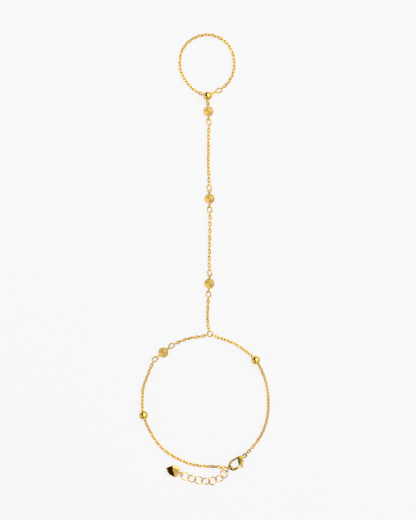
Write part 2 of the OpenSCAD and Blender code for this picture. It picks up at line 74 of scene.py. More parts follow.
# Golds: linear colour where the metal is bright and in its duller patches, roughness from the best
# polished spots to the least, and how many patches and grains there are to a metre. Painted shade in
# recesses and gaps has its dark colour, how near their walls are in millimetres, and how open the spot
# is where the painted shade is darkest and where it ends
CLASP_GOLD = {
    "light": (0.88, 0.6, 0.13), "dull": (0.72, 0.43, 0.06), "rough": (0.05, 0.12),
    "patch": 600, "grain": 3500,
    # Painted shade: the colour goes near black in the clasp's slot, grooves and the hook's inner side, where
    # shade falls
    "painted_shade": {"dark": (0.04, 0.022, 0.006), "near": 1.6, "open": (0.7, 0.98)},
}
GOLDS = {
    "chain": {
        "light": (0.9, 0.59, 0.1), "dull": (0.78, 0.47, 0.05), "rough": (0.15, 0.26),
        "patch": 700, "grain": 6000,
    },
    "ring": {
        "light": (0.9, 0.59, 0.12), "dull": (0.74, 0.43, 0.05), "rough": (0.12, 0.22),
        "patch": 600, "grain": 5000,
    },
    "bead": {
        "light": (0.95, 0.66, 0.16), "dull": (0.83, 0.52, 0.08), "rough": (0.03, 0.07),
        "patch": 400, "grain": 2500,
    },
    "disc": {
        "light": (0.76, 0.53, 0.18), "dull": (0.66, 0.43, 0.1), "rough": (0.4, 0.55),
        "patch": 900, "grain": 4500,
        # Painted shade: the colour is darker beside the swirl, the rim and the eyes, where shade falls
        "painted_shade": {"dark": (0.55, 0.36, 0.09), "near": 0.6, "open": (0.6, 0.92)},
    },
    "heart": {
        "light": (0.74, 0.46, 0.11), "dull": (0.56, 0.32, 0.05), "rough": (0.03, 0.08),
        "patch": 500, "grain": 3000,
    },
    "clasp_body": CLASP_GOLD,
    "clasp_lever": CLASP_GOLD,
    "clasp_pin": {
        "light": (0.82, 0.55, 0.15), "dull": (0.62, 0.38, 0.08), "rough": (0.2, 0.34),
        "patch": 1500, "grain": 7000,
    },
}
# Their noise: its detail, and where on its scale the tint or the polish starts and ends to change
PATCH_NOISE, TINT_RANGE = {"Detail": 4, "Roughness": 0.6}, (0.36, 0.62)
GRAIN_NOISE, POLISH_RANGE = {"Detail": 3, "Roughness": 0.55}, (0.35, 0.65)
BUMP_STRENGTH, BUMP_HIGH = 0.25, 0.01 * MM
# Rays that find how near other surfaces are, for the painted shade in recesses
PAINTED_SHADE_RAYS = 16

# Table: half its side and its drop below the object in metres, then its looks
FLOOR_HALF, FLOOR_DROP = 3, 0.01 * MM
FLOOR_GREY, FLOOR_ROUGH, FLOOR_SHINE, FLOOR_GLOW = 0.1, 0.9, 0.1, 0.83

LAMPS = {
    "key": {"place": (0.42, 0.38, 0.75), "size": (0.8, 0.8), "power": 6},
    "fill": {"place": (-0.6, -0.3, 0.5), "size": (0.4, 0.6), "power": 1},
}
# Tent: soft edges of its dark gap as a direction's x or y over its z, with a least z for that, the soft
# edge of its low walls as z, and how light the gap, the walls and the plain backdrop are
GAP_LEFT, GAP_RIGHT, GAP_END = (-1.8, -1.4), (-0.12, -0.05), (2.2, 2.8)
WALL_EDGE, LEAST_Z = (0.1, 0.5), 0.05
GAP_LIGHT, WALL_LIGHT, BACKDROP = 0.03, 0.2, 0.93

# The pieces built here, in millimetres and degrees as in the part's source.
# Links and rings: how much thicker their wire is on every side, and how finely they are made
LINK_THICKER, LINK_STEPS, LINK_SIDES = 0.04, 12, 14
RING_THICKER, RING_STEPS, RING_SIDES = 0.05, 32, 24
LINK_CHAINS = [
    "finger_chain", "finger_tail", "bead_link", "hand_chain_1", "hand_chain_2", "hand_chain_3",
    "wrist_chain_top", "wrist_chain_left", "wrist_chain_right",
]
# Links whose sides are broader than their wire, and the share of that which goes inwards
SOLID_SIDES = {"bead_link": 0.11, "finger_tail": 0.05}
BROAD_INWARDS = 0.6
# Jump rings, with the place of their split in degrees from their long axis
SPLIT_RINGS = {
    "finger_jump_ring": 80, "disc_1_ring": 100, "disc_2_ring_a": 70, "disc_2_ring_b": 290,
    "disc_3_ring_a": 260, "disc_3_ring_b": 95, "disc_4_ring_a": 75, "disc_4_ring_b": 265,
    "top_ring": 205, "clasp_ring": 130, "hook_ring": 85, "end_ring": 190, "tag_ring": 230,
}
# Width of the splits, and the softening of their ends as a share of the wire's radius
SPLIT_W, SPLIT_SOFT = 0.03, 0.12
# Steps to a metre by which the points of a CAD mesh are told apart
POINT_STEPS = 1e7

DISC_D, DISC_T, RIM_W, RELIEF_H = 4, 0.7, 0.34, 0.14
COIN_SOFT, COIN_SEGMENTS = 0.12, 128
# Points round the coin's lower edge, over its rim and along its face
COIN_EDGE, COIN_RIM, COIN_FACE = 6, 13, 12
SWIRL_W, SWIRL_PITCH, SWIRL_TURNS = 0.34, 0.62, 4
SWIRL_START, SWIRL_STEPS, SWIRL_SIDES = 0.06, 24, 20
# The swirl's ends taper over this many rows, from this share of a row
TAPER_ROWS, TAPER_START = 3, 0.3
EYE_HOLE, EYE_WALL, EYE_W, EYE_REACH = 0.84, 0.3, 0.88, 0.95
EYE_SOFT, EYE_SEGMENTS = 0.11, 72
# Bar between the coin and a broad eye: how far it starts inside the coin, how much narrower it is than
# the eye on each side, and half its thickness
BAR_IN, BAR_INSET, BAR_HALF = 0.4, 0.1, 0.3
LOOP_R, LOOP_WIRE, LOOP_REACH = 0.33, 0.3, 0.34
LOOP_SEGMENTS, LOOP_SIDES = 64, 24
CHAIN_Z = 0.73
# Disc 1 hangs from the finger bead along the hand's direction
FINGER_BEAD_AT, HAND_DIR = (1.4, 65.1), -87
DISCS = {"disc_2": ((2.2, 24.1), -89), "disc_3": ((2.1, -9.8), -93), "disc_4": ((-16.3, -37.4), 219)}

HEART_AT, HEART_DIR, HEART_T, HEART_GAP = (-12.66, -84.62), -18, 1.5, 0.05
HEART_LEN, HEART_W = 5.2, 4.4
# Its lobes' radius as a share of the width, its tip's and cheeks' as shares of the length, the place
# of the cheeks as shares of both, and the place of its crown along it
HEART_LOBE, HEART_TIP, HEART_CHEEK, CHEEK_AT = 0.285, 0.17, 0.28, (-0.026, 0.114)
HEART_CROWN = 0.65
HEART_AROUND, HEART_RINGS = 240, 40
# Points on each side that soften the outline, and their spread
SMOOTH_REACH, SMOOTH_SPREAD = 9, 3.2
# Share of its thickness that the puffed face falls by, and how tight its rounded edge is
HEART_FALL, HEART_EDGE = 0.5, 24
HEART_EYE_OUT, HEART_EYE_UP, TAG_RING_DIR = 0.72, 0.14, -35

CLASP_AT, CLASP_DIR, CLASP_Z = (12.2, -81.8), 38, 1.2
# The hook's middle line: x, y, half its width and half its height
HOOK_LINE = [
    (4, 0.45, 0.42, 0.8), (3.1, 0.85, 0.45, 0.8), (2.1, 1.2, 0.38, 0.72), (0.9, 1.42, 0.38, 0.66),
    (-0.3, 1.46, 0.42, 0.62), (-1.3, 1.22, 0.46, 0.6), (-2.12, 0.62, 0.49, 0.54), (-2.38, -0.2, 0.52, 0.5),
    (-2.18, -1.02, 0.54, 0.52), (-1.62, -1.63, 0.52, 0.56), (-0.8, -1.98, 0.48, 0.6),
    (0, -2.04, 0.44, 0.58), (0.6, -1.95, 0.36, 0.5), (0.92, -1.82, 0.26, 0.38),
]
# How far the hook's top leans towards the left of the photograph at each row
HOOK_LEAN = [0, 0, 12, 22, 3, -8, 10, 20, 24, 24, 16, -5, -6, 0]
HOOK_STEPS, HOOK_SIDES, HOOK_SQUARE = 8, 36, 0.75
# Its rounded tip: its length as a share of the half width, and the angles of its rows in radians
HOOK_TIP, HOOK_TIP_ROWS = 0.9, (0.4, 0.8, 1.15, 1.4)
CLASP_T, LEVER_T, LEVER_GAP = 1.9, 0.74, 0.1
PIN_D, PIN_GAP, PIN_SEAT_GAP = 0.5, 0.05, 0.02
CLASP_EYE_OUT, CLASP_EYE_HOLE, CLASP_EYE_WIRE = 5.2, 1, 0.45
# Circles of the clasp's parts as x, y and radius
PIVOT, HOUSING, NECK = (2.9, 0.3, 0.62), (2.95, 0.4, 0.98), (4.3, 0.1, 0.5)
GATE_MIDDLE, GATE_TIP = (1.8, -0.55, 0.5), (1.5, -1.35, 0.38)
TAB_ROOT, TAB_MIDDLE, KNOB = (2.9, -1, 0.66), (2.15, -1.9, 0.48), (1.65, -2.7, 0.48)
LEVER_BARS = [
    (PIVOT, GATE_MIDDLE), (GATE_MIDDLE, GATE_TIP),
    (PIVOT, TAB_ROOT), (TAB_ROOT, TAB_MIDDLE), (TAB_MIDDLE, KNOB),
]
HOUSING_SOFT, LEVER_SOFT, CUT_SOFT, HOLE_SOFT = 0.32, 0.2, 0.02, 0.01
# The slot's open side, from the pivot: towards the gate, the other way, and to the side of the tab. Away
# from the tab it keeps this share of the lever's gap
OPEN_GATE, OPEN_PAST, OPEN_TAB, OPEN_GAP = -1.6, 0.6, -1.25, 0.7
# Groove between the lever's gate and its tab, half the web under it, and the groove in the housing
GROOVE = [(2.42, 0.05, 0.22), (2.02, -0.6, 0.27), (1.62, -1.3, 0.26), (1.3, -1.85, 0.22)]
HALF_WEB = 0.07
HOUSING_GROOVE = [(2.75, 1.3, 0.22), (2.35, 0.3, 0.22)]
# Sunk ring round the pin, and the depth of it and of the groove in the housing
SUNK_W, SUNK_DEEP = 0.18, 0.34
# Castings: size of the voxels that join their parts, and rounds of smoothing
DISC_CAST, BODY_CAST, LEVER_CAST = (0.038, 3), (0.04, 4), (0.03, 3)


def node(tree, kind, **values):
    """A new shader node with these settings, given by property or by socket name."""
    n = tree.nodes.new(kind)
    for key, value in values.items():
        if hasattr(n, key):
            setattr(n, key, value)
        else:
            n.inputs[key.replace("_", " ")].default_value = value
    return n


def gold(slot, light, dull, rough, patch, grain, painted_shade=None):
    """Polished cast gold: patches of duller colour, uneven polish, a fine grain, perhaps painted shade
    darkening its recesses.
    """
    m = bpy.data.materials.new("gold_" + slot)
    m.use_nodes = True
    t = m.node_tree
    link = t.links.new
    shader = t.nodes["Principled BSDF"]
    shader.inputs["Metallic"].default_value = 1
    place = node(t, "ShaderNodeTexCoord").outputs["Object"]
    patches = node(t, "ShaderNodeTexNoise", Scale=patch, **PATCH_NOISE)
    grains = node(t, "ShaderNodeTexNoise", Scale=grain, **GRAIN_NOISE)
    link(place, patches.inputs["Vector"])
    link(place, grains.inputs["Vector"])
    tint = node(t, "ShaderNodeValToRGB")
    for stop, position, shade in zip(tint.color_ramp.elements, TINT_RANGE, (dull, light)):
        stop.position = position
        stop.color = (*shade, 1)
    link(patches.outputs["Fac"], tint.inputs["Fac"])
    colour = tint.outputs["Color"]
    # Painted shade: where other metal or the table is near, the colour goes towards the dark colour, as shade
    # falls in recesses and gaps
    if painted_shade is not None:
        dark_at, unshaded_at = painted_shade["open"]
        near = node(t, "ShaderNodeAmbientOcclusion", samples=PAINTED_SHADE_RAYS, Distance=painted_shade["near"] * MM)
        depth = node(t, "ShaderNodeMapRange", From_Min=dark_at, From_Max=unshaded_at, To_Min=0, To_Max=1)
        shade_mix = node(t, "ShaderNodeMix", data_type="RGBA")
        link(near.outputs["AO"], depth.inputs["Value"])
        link(depth.outputs["Result"], shade_mix.inputs["Factor"])
        shade_mix.inputs["A"].default_value = (*painted_shade["dark"], 1)
        link(colour, shade_mix.inputs["B"])
        colour = shade_mix.outputs["Result"]
    link(colour, shader.inputs["Base Color"])
    start, end = POLISH_RANGE
    polish = node(t, "ShaderNodeMapRange", From_Min=start, From_Max=end, To_Min=rough[0], To_Max=rough[1])
    link(grains.outputs["Fac"], polish.inputs["Value"])
    link(polish.outputs["Result"], shader.inputs["Roughness"])
    bump = node(t, "ShaderNodeBump", Strength=BUMP_STRENGTH, Distance=BUMP_HIGH)
    link(grains.outputs["Fac"], bump.inputs["Height"])
    link(bump.outputs["Normal"], shader.inputs["Normal"])
    return m


def new_object(name, data):
    o = bpy.data.objects.new(name, data)
    bpy.context.scene.collection.objects.link(o)
    return o


def tube(rows, sides, closed=True, square=1.0):
    """Tube through rows of middle point, two cross directions and a half size along each of them."""
    turns = [2 * math.pi * k / sides for k in range(sides)]
    bend = [[math.copysign(abs(f(a)) ** square, f(a)) for f in (math.cos, math.sin)] for a in turns]
    points = [c + w * x * u + h * y * v for c, u, v, w, h in rows for x, y in bend]
    n = len(rows)
    faces = []
    for i in range(n if closed else n - 1):
        here, ahead = i * sides, (i + 1) % n * sides
        for k in range(sides):
            j = (k + 1) % sides
            faces.append((here + k, here + j, ahead + j, ahead + k))
    if not closed:
        faces += [tuple(range(sides))[::-1], tuple(range((n - 1) * sides, n * sides))]
    return points, faces


def merged(parts):
    """Several (points, faces) as one."""
    points, faces = [], []
    for p, f in parts:
        faces += [tuple(i + len(points) for i in face) for face in f]
        points += list(p)
    return points, faces


def placed(part, matrix):
    points, faces = part
    return [matrix @ Vector(p) for p in points], faces


def mesh_of(name, part, scale=1.0):
    points, faces = part
    data = bpy.data.meshes.new(name)
    data.from_pydata([tuple(scale * c for c in p) for p in points], [], faces)
    bm = bmesh.new()
    bm.from_mesh(data)
    bmesh.ops.recalc_face_normals(bm, faces=bm.faces)
    bm.to_mesh(data)
    bm.free()
    return data


def stand_for(name, data, cad, slot, matrix=None):
    """Shows this mesh in place of the CAD node, smooth, in the slot's gold and on the node's body."""
    data.shade_smooth()
    data.materials.clear()
    data.materials.append(golds[slot])
    o = new_object(name, data)
    if matrix is not None:
        o.matrix_world = matrix
    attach(o, frame["nodes"][cad]["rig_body"])
    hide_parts(cad)


def solids_of(cad):
    """The loose solids of a CAD node, each as the points and areas of its triangles."""
    data = frame["nodes"][cad].data
    co = np.empty(len(data.vertices) * 3, np.float32)
    data.vertices.foreach_get("co", co)
    co = co.reshape(-1, 3)
    triangles = np.empty(len(data.polygons) * 3, np.int32)
    data.polygons.foreach_get("vertices", triangles)
    _, same = np.unique(np.round(co * POINT_STEPS).astype(np.int64), axis=0, return_inverse=True)
    corners = same.reshape(-1)[triangles].reshape(-1, 3)
    # Every point takes the lowest label that its triangles reach, until none changes
    label = np.arange(corners.max() + 1)
    while True:
        low = label[corners].min(axis=1)
        fresh = label.copy()
        for k in range(3):
            np.minimum.at(fresh, corners[:, k], low)
        fresh = fresh[fresh]
        if (fresh == label).all():
            break
        label = fresh
    owner = label[corners[:, 0]]
    p = co[triangles.reshape(-1, 3)].astype(float)
    area = np.linalg.norm(np.cross(p[:, 1] - p[:, 0], p[:, 2] - p[:, 0]), axis=1) / 2
    return [(p[owner == i].reshape(-1, 3), area[owner == i]) for i in np.unique(owner)]


def oval_of(points, area):
    """Middle, long, cross and flat direction of an oval link or ring, and its half sizes along them."""
    weight = np.repeat(area, 3)
    middle = (points * weight[:, None]).sum(0) / weight.sum()
    spread = points - middle
    _, axes = np.linalg.eigh((spread * weight[:, None]).T @ spread)
    flat, cross, long = axes[:, 0], axes[:, 1], axes[:, 2]
    half = [float(np.abs(spread @ axis).max()) for axis in (long, cross, flat)]
    return Vector(middle), Vector(long), Vector(cross), Vector(flat), half


def oval_rows(oval, thicker, steps, split=None, broad=0.0):
    """Rows of a tube along the middle line of an oval, perhaps broader at its sides or with a split."""
    middle, long, cross, flat, (half_long, half_cross, wire) = oval
    radius = half_cross - wire - thicker
    run = max(half_long - half_cross + thicker, 0.0)
    wire += thicker
    line = []
    for side in (1, -1):
        for k in range(steps + 1):
            a = math.radians(side * 90 - 180 + 180 * k / steps)
            out = math.cos(a) * long + math.sin(a) * cross
            line.append((middle + (run * side) * long + radius * out, out))
    if split is None:
        more = [broad * out.dot(cross) ** 2 for _, out in line]
        return [(c - BROAD_INWARDS * d * out, out, flat, wire + d, wire) for (c, out), d in zip(line, more)]
    aim = math.cos(math.radians(split)) * long + math.sin(math.radians(split)) * cross
    first = max(range(len(line)), key=lambda i: (line[i][0] - middle).normalized().dot(aim))
    line = line[first:] + line[:first]
    rows = [(c, out, flat, wire, wire) for c, out in line]
    # The cut: both ends draw back by half the split, with softened edges
    start, after, before = line[0][0], line[1][0], line[-1][0]
    ahead, back = (after - start).normalized(), (before - start).normalized()
    out = line[0][1]
    soft = SPLIT_SOFT * wire
    ends = []
    for way in (ahead, back):
        end = []
        for d, w in ((0, 0), (soft * 0.3, soft * 0.7), (soft, soft)):
            end.append((start + way * (SPLIT_W * MM / 2 + d), out, flat, wire - soft + w, wire - soft + w))
        ends.append(end)
    return ends[0] + rows[1:] + ends[1][::-1]


def lathe(profile, segments):
    """Closed ring or disc turned about Z from a profile of (radius, height), in order round the metal."""
    solid = profile[0][0] == 0
    points, faces = [], []
    n = len(profile)
    for k in range(segments):
        a = 2 * math.pi * k / segments
        points += [Vector((r * math.cos(a), r * math.sin(a), z)) for r, z in profile]
    for k in range(segments):
        j = (k + 1) % segments
        for i in range(n - 1 if solid else n):
            faces.append((k * n + i, j * n + i, j * n + (i + 1) % n, k * n + (i + 1) % n))
    return points, faces


def loop(inner, wire):
    """Round ring of wire about Z."""
    r = inner + wire / 2
    turns = [2 * math.pi * k / LOOP_SIDES for k in range(LOOP_SIDES)]
    return lathe([(r + wire / 2 * math.cos(a), wire / 2 * math.sin(a)) for a in turns], LOOP_SEGMENTS)


def slab(circles, thick, soft, steps=5):
    """Prism round these circles with softened edges, standing across z = 0."""
    around = 40
    bm = bmesh.new()
    for x, y, r in circles:
        for i in range(steps + 1):
            a = math.pi / 2 * i / steps
            level, out = thick / 2 - soft + soft * math.sin(a), r - soft + soft * math.cos(a)
            for k in range(around):
                b = 2 * math.pi * k / around
                for side in (1, -1):
                    bm.verts.new((x + out * math.cos(b), y + out * math.sin(b), side * level))
    made = bmesh.ops.convex_hull(bm, input=bm.verts)
    inside = made["geom_interior"] + made["geom_unused"]
    extra = {v for v in inside if isinstance(v, bmesh.types.BMVert)}
    bmesh.ops.delete(bm, geom=list(extra), context="VERTS")
    bm.verts.index_update()
    part = [v.co.copy() for v in bm.verts], [tuple(v.index for v in f.verts) for f in bm.faces]
    bm.free()
    return part


def fused(name, parts, cuts, voxel, rounds):
    """One smooth mesh of overlapping parts less the cuts, as if cast, from millimetres to metres."""
    body = new_object(name + "_raw", mesh_of(name + "_raw", merged(parts)))
    temp = [body]
    first = body.modifiers.new("join", "REMESH")
    first.mode, first.voxel_size = "VOXEL", voxel
    for i, cut in enumerate(cuts):
        tool = new_object(f"{name}_cut_{i}", mesh_of(f"{name}_cut_{i}", cut))
        temp.append(tool)
        less = body.modifiers.new("cut", "BOOLEAN")
        less.operation, less.solver, less.object = "DIFFERENCE", "EXACT", tool
    if cuts:
        again = body.modifiers.new("even", "REMESH")
        again.mode, again.voxel_size = "VOXEL", voxel
    soften = body.modifiers.new("soften", "SMOOTH")
    soften.factor, soften.iterations = 0.5, rounds
    bpy.context.view_layer.update()
    made = bpy.data.meshes.new_from_object(body.evaluated_get(bpy.context.evaluated_depsgraph_get()))
    made.name = name
    made.transform(Matrix.Scale(MM, 4))
    for o in temp:
        data = o.data
        bpy.data.objects.remove(o)
        bpy.data.meshes.remove(data)
    return made


def box_part(low, high):
    (a, b, c), (d, e, f) = low, high
    points = [Vector((x, y, z)) for z in (c, f) for x, y in ((a, b), (d, b), (d, e), (a, e))]
    faces = [(0, 3, 2, 1), (4, 5, 6, 7), (0, 1, 5, 4), (1, 2, 6, 5), (2, 3, 7, 6), (3, 0, 4, 7)]
    return points, faces


def turned(degrees, axis="Z"):
    return Matrix.Rotation(math.radians(degrees), 4, axis)


def place_at(x, y, z, degrees):
    """From a piece's own millimetres, once scaled to metres, to its place in the frame."""
    return Matrix.Translation((x * MM, y * MM, z * MM)) @ turned(degrees)


def upright(part):
    return placed(part, turned(90, "X"))


def swirl():
    """Raised swirl of half turns on the disc's upper face, each wider than the one before."""
    line = []
    for k in range(SWIRL_TURNS):
        r = SWIRL_W / 2 + SWIRL_START + k * SWIRL_PITCH / 2
        side = -1 if k % 2 == 0 else 1
        for i in range(SWIRL_STEPS + (k == SWIRL_TURNS - 1)):
            a = math.radians((0 if side < 0 else 180) + 180 * i / SWIRL_STEPS)
            out = Vector((math.cos(a), math.sin(a), 0))
            line.append((Vector((side * SWIRL_PITCH / 4, 0, DISC_T / 2)) + r * out, out))
    last = len(line) - 1
    up = Vector((0, 0, 1))
    rows = []
    for i, (c, out) in enumerate(line):
        share = min(1, math.sqrt((min(i, last - i) + TAPER_START) / TAPER_ROWS))
        rows.append((c, out, up, SWIRL_W / 2 * share, RELIEF_H * share))
    return placed(tube(rows, SWIRL_SIDES, closed=False), turned(90))


def coin():
    """Coin with a raised rounded rim and a shallow cup inside it."""
    r, low, top, soft = DISC_D / 2, -DISC_T / 2, DISC_T / 2 + RELIEF_H, COIN_SOFT
    profile = [(0, low)]
    for a in np.linspace(0, math.pi / 2, COIN_EDGE):
        profile.append((r - soft + soft * math.sin(a), low + soft - soft * math.cos(a)))
    middle, half = r - RIM_W / 2, RIM_W / 2
    for a in np.linspace(0, math.pi, COIN_RIM):
        profile.append((middle + half * math.cos(a), top - half + half * math.sin(a)))
    profile += [(x, DISC_T / 2) for x in np.linspace(r - RIM_W, 0, COIN_FACE)]
    return lathe(profile, COIN_SEGMENTS)


def broad_eye():
    """Broad eye with a rounded section, its hole across the disc's line."""
    inner, outer, half, soft = EYE_HOLE / 2, EYE_HOLE / 2 + EYE_WALL, EYE_W / 2, EYE_SOFT
    corners = [
        (outer - soft, half - soft, 0), (inner + soft, half - soft, 90),
        (inner + soft, soft - half, 180), (outer - soft, soft - half, 270),
    ]
    profile = [
        (x + soft * math.cos(math.radians(a + d)), z + soft * math.sin(math.radians(a + d)))
        for x, z, a in corners for d in (0, 30, 60, 90)
    ]
    return upright(lathe(profile, EYE_SEGMENTS))


def disc_mesh(name, thin_first):
    """Disc with its swirl and its two eyes: the first one thin where a single link holds it."""
    eye_out = DISC_D / 2 + EYE_REACH
    shift = Matrix.Translation((eye_out, 0, 0))
    half_turn = Matrix.Rotation(math.pi, 4, "Z")
    bar_end, bar_side = eye_out - EYE_HOLE / 2 - EYE_WALL / 2, EYE_W / 2 - BAR_INSET
    bar = box_part((DISC_D / 2 - BAR_IN, -bar_side, -BAR_HALF), (bar_end, bar_side, BAR_HALF))
    parts = [coin(), swirl(), placed(broad_eye(), shift), bar]
    if thin_first:
        thin_eye = upright(loop(LOOP_R, LOOP_WIRE))
        parts.append(placed(thin_eye, Matrix.Translation((-DISC_D / 2 - LOOP_REACH, 0, 0))))
    else:
        parts += [placed(placed(broad_eye(), shift), half_turn), placed(bar, half_turn)]
    return fused(name, parts, [], *DISC_CAST)


def reach(outline, start, angle):
    """How far from start a ray leaves a convex outline."""
    d = (math.cos(angle), math.sin(angle))
    best = 0.0
    for (ax, ay), (bx, by) in zip(outline, outline[1:] + outline[:1]):
        ex, ey = bx - ax, by - ay
        cross = d[0] * ey - d[1] * ex
        if abs(cross) < 1e-12:
            continue
        s = ((ax - start[0]) * ey - (ay - start[1]) * ex) / cross
        u = ((ax - start[0]) * d[1] - (ay - start[1]) * d[0]) / cross
        if -1e-9 <= u <= 1 + 1e-9 and s > best:
            best = s
    return best


def bends_left(a, b, c):
    return (b[0] - a[0]) * (c[1] - a[1]) > (b[1] - a[1]) * (c[0] - a[0])


def convex(points):
    """Corners of the convex outline of points in the plane, anticlockwise."""
    points = sorted(set(points))
    halves = []
    for run in (points, points[::-1]):
        half = []
        for p in run:
            while len(half) > 1 and not bends_left(half[-2], half[-1], p):
                half.pop()
            half.append(p)
        halves.append(half[:-1])
    return halves[0] + halves[1]


def heart():
    """Puffed heart with its tip towards -X, and the eye in its notch."""
    lobe_r, tip_r, cheek_r = HEART_LOBE * HEART_W, HEART_TIP * HEART_LEN, HEART_CHEEK * HEART_LEN
    lobe_side, lobe_x = HEART_W / 2 - lobe_r, HEART_LEN / 2 - lobe_r
    cheek_x, cheek_side = CHEEK_AT
    outlines = []
    for side in (1, -1):
        circles = [
            (lobe_x, side * lobe_side, lobe_r),
            (cheek_x * HEART_LEN, side * cheek_side * HEART_W, cheek_r),
            (tip_r - HEART_LEN / 2, 0, tip_r),
        ]
        outlines.append(convex([
            (x + r * math.cos(math.radians(a)), y + r * math.sin(math.radians(a)))
            for x, y, r in circles for a in range(0, 360, 4)
        ]))
    start, around, rings = (HEART_CROWN, 0), HEART_AROUND, HEART_RINGS
    turns = [2 * math.pi * k / around for k in range(around)]
    far = np.array([max(reach(o, start, a) for o in outlines) for a in turns])
    soft = np.exp(-0.5 * (np.arange(-SMOOTH_REACH, SMOOTH_REACH + 1) / SMOOTH_SPREAD) ** 2)
    far = np.concatenate([far[-SMOOTH_REACH:], far, far[:SMOOTH_REACH]])
    far = np.convolve(far, soft / soft.sum(), "valid")
    points, faces = [], []
    for side in (1, -1):
        points.append(Vector((*start, side * HEART_T / 2)))
        # The lower face shares the upper one's last ring
        for i in range(1, rings + (1 if side > 0 else 0)):
            share = math.sin(math.pi / 2 * i / rings)
            high = HEART_T / 2 * (1 - HEART_FALL * share ** 2) * (1 - share ** HEART_EDGE) ** 0.5
            for k, a in enumerate(turns):
                x, y = start[0] + share * far[k] * math.cos(a), start[1] + share * far[k] * math.sin(a)
                points.append(Vector((x, y, side * high)))
    low = 1 + rings * around

    def at(side, i, k):
        if side < 0 and i == rings:
            return at(1, rings, k)
        return (0 if side > 0 else low) + 1 + (i - 1) * around + k % around

    for side in (1, -1):
        centre = 0 if side > 0 else low
        for k in range(around):
            faces.append((centre, at(side, 1, k), at(side, 1, k + 1)))
            for i in range(1, rings):
                faces.append((at(side, i, k), at(side, i + 1, k), at(side, i + 1, k + 1), at(side, i, k + 1)))
    notch = lobe_x + math.sqrt(lobe_r ** 2 - lobe_side ** 2)
    eye_at = Matrix.Translation((notch + HEART_EYE_OUT, 0, HEART_EYE_UP)) @ turned(TAG_RING_DIR - HEART_DIR)
    eye = placed(upright(loop(LOOP_R, LOOP_WIRE)), eye_at)
    return mesh_of("heart", merged([(points, faces), eye]), MM)


def curve(p, t):
    """Smooth curve through the rows of p, at place t counted in rows."""
    i = min(int(t), len(p) - 2)
    u = t - i
    a, b, c, d = (np.array(p[min(max(j, 0), len(p) - 1)]) for j in (i - 1, i, i + 1, i + 2))
    square, cube = 2 * a - 5 * b + 4 * c - d, 3 * b - a - 3 * c + d
    return 0.5 * (2 * b + (c - a) * u + square * u ** 2 + cube * u ** 3)


def hook():
    """Smooth hook swept along its middle line, with a rounded tip."""
    n = HOOK_STEPS * (len(HOOK_LINE) - 1)
    table = [row + (lean,) for row, lean in zip(HOOK_LINE, HOOK_LEAN)]
    line = [curve(table, i / HOOK_STEPS).tolist() for i in range(n + 1)]
    left = math.radians(-CLASP_DIR)
    up = Vector((0, 0, 1))
    rows = []
    for i, (x, y, w, h, lean) in enumerate(line):
        a, b = line[max(i - 1, 0)], line[min(i + 1, n)]
        turn = math.atan2(b[1] - a[1], b[0] - a[0]) + math.pi / 2
        rise = math.tan(math.radians(lean)) * math.cos(turn - left)
        rows.append((Vector((x, y, 0)), Vector((math.cos(turn), math.sin(turn), rise)), up, w, h))
    c, u, v, w, h = rows[-1]
    ahead = (c - rows[-2][0]).normalized()
    for a in HOOK_TIP_ROWS:
        rows.append((c + HOOK_TIP * w * math.sin(a) * ahead, u, v, w * math.cos(a), h * math.cos(a)))
    return tube(rows, HOOK_SIDES, closed=False, square=HOOK_SQUARE)


def both_faces(circles, thick, deep):
    """Cuts of this depth round these circles in both faces of a flat part."""
    cut = slab(list(circles), 2 * deep, CUT_SOFT, steps=1)
    return [placed(cut, Matrix.Translation((0, 0, side * thick / 2))) for side in (1, -1)]


def pin_hole(gap, long):
    return slab([(PIVOT[0], PIVOT[1], PIN_D / 2 + gap)], long, HOLE_SOFT, steps=1)


def clasp_body():
    """Hook, housing and eye in one, less the lever's slot, the pin's hole and the sunk lines."""
    eye = placed(loop(CLASP_EYE_HOLE / 2, CLASP_EYE_WIRE), Matrix.Translation((CLASP_EYE_OUT, 0, 0)))
    parts = [hook(), slab([HOUSING, NECK], CLASP_T, HOUSING_SOFT), eye]
    slot_t = LEVER_T + 2 * LEVER_GAP
    slot = slab([(x, y, r + LEVER_GAP) for x, y, r in (PIVOT, GATE_MIDDLE)], slot_t, CUT_SOFT, steps=1)
    arm = math.atan2(PIVOT[1] - GATE_TIP[1], PIVOT[0] - GATE_TIP[0])
    low = (OPEN_GATE, OPEN_TAB, -slot_t / 2)
    high = (OPEN_PAST, PIVOT[2] + OPEN_GAP * LEVER_GAP, slot_t / 2)
    at_pivot = Matrix.Translation((PIVOT[0], PIVOT[1], 0)) @ Matrix.Rotation(arm, 4, "Z")
    cuts = [slot, placed(box_part(low, high), at_pivot), pin_hole(PIN_SEAT_GAP, 3 * CLASP_T)]
    cuts += both_faces([(PIVOT[0], PIVOT[1], PIN_D / 2 + SUNK_W)], CLASP_T, SUNK_DEEP)
    cuts += both_faces(HOUSING_GROOVE, CLASP_T, SUNK_DEEP)
    return fused("clasp_body", parts, cuts, *BODY_CAST)


def clasp_lever():
    """Lever with its gate and its tab, less the pin's hole and the groove between them."""
    cuts = [pin_hole(PIN_GAP, 3 * LEVER_T)]
    for pair in zip(GROOVE, GROOVE[1:]):
        cuts += both_faces(pair, LEVER_T, LEVER_T / 2 - HALF_WEB)
    bars = [slab(list(pair), LEVER_T, LEVER_SOFT) for pair in LEVER_BARS]
    return fused("clasp_lever", bars, cuts, *LEVER_CAST)


def make_camera():
    data = bpy.data.cameras.new("camera")
    data.lens = LENS
    data.sensor_width = SENSOR
    data.clip_start, data.clip_end = CLIP_NEAR, CLIP_FAR
    camera = new_object("camera", data)
    camera.location = (VIEW_X, VIEW_Y, VIEW_Z + VIEW_LONG * LENS / SENSOR)
    bpy.context.scene.camera = camera


